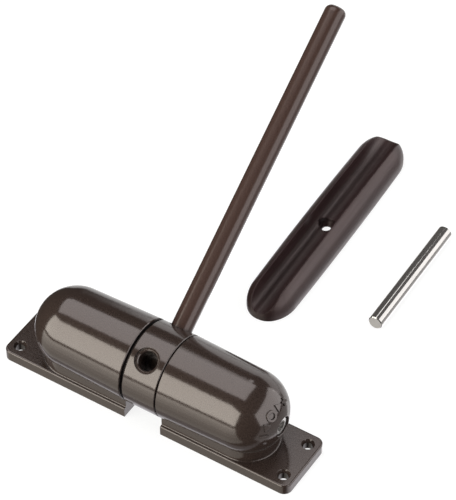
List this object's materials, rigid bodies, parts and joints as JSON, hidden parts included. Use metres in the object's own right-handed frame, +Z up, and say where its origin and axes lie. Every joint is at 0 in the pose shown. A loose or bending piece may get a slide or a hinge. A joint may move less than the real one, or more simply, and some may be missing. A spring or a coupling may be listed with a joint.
{
  "type": "door closer",
  "caption": "Surface-mounted door closer: sprung body on two screw feet, collar that swings a round arm, with a loose slide guide and tensioning pin.",
  "frame": {"origin": "centre of the four foot screws, on the mounting surface", "axes": "+X along the body towards the tension hub, +Y to the back, the side the arm leans to, +Z up from the mounting surface"},
  "size_m": [0.152, 0.219, 0.1303],
  "materials": {
    "housing_paint": "gloss",
    "collar_paint": "gloss",
    "arm_paint": "gloss",
    "bearing_plastic": "satin",
    "core_plastic": "satin",
    "bush_bronze": "satin",
    "turned_steel": "satin",
    "spring_steel": "satin",
    "hub_steel": "bright",
    "guide_plastic": "satin",
    "pin_steel": "polished"
  },
  "bodies": {
    "housing": {"left_housing": "housing_paint", "right_housing": "housing_paint", "left_bush": "bearing_plastic", "right_bush": "bearing_plastic", "left_retaining_ring": "spring_steel", "right_retaining_ring": "spring_steel", "axle": "turned_steel", "spring_anchor": "turned_steel", "anchor_dowels": "turned_steel", "axle_cross_pin": "spring_steel", "click_washer": "spring_steel", "left_torsion_spring": "spring_steel", "right_torsion_spring": "spring_steel", "left_spring_core": "core_plastic", "right_spring_core": "core_plastic"},
    "arm": {"collar": "collar_paint", "arm_rod": "arm_paint", "axle_bush": "bush_bronze"},
    "tensioner": {"tension_hub": "hub_steel"},
    "guide": {"slide_guide": "guide_plastic"},
    "pin": {"tension_pin": "pin_steel"}
  },
  "joints": [
    {"name": "arm_swing", "type": "hinge", "parent": "housing", "child": "arm", "pos_m": [0, 0, 0.0229], "axis": [1, 0, 0], "range_deg": [0, 140], "stiffness_Nm_per_rad": 1.5, "springref_deg": -34.38, "deforming": ["left_torsion_spring", "right_torsion_spring"]},
    {"name": "tension_adjust", "type": "hinge", "parent": "housing", "child": "tensioner", "pos_m": [0, 0, 0.0229], "axis": [1, 0, 0], "range_deg": [0, 270], "deforming": ["right_torsion_spring", "click_washer"]},
    {"name": "guide_lift", "type": "slide", "parent": "housing", "child": "guide", "axis": [0, 0, 1], "range_m": [0, 0.05]},
    {"name": "pin_lift", "type": "slide", "parent": "housing", "child": "pin", "axis": [0, 0, 1], "range_m": [0, 0.05]}
  ]
}
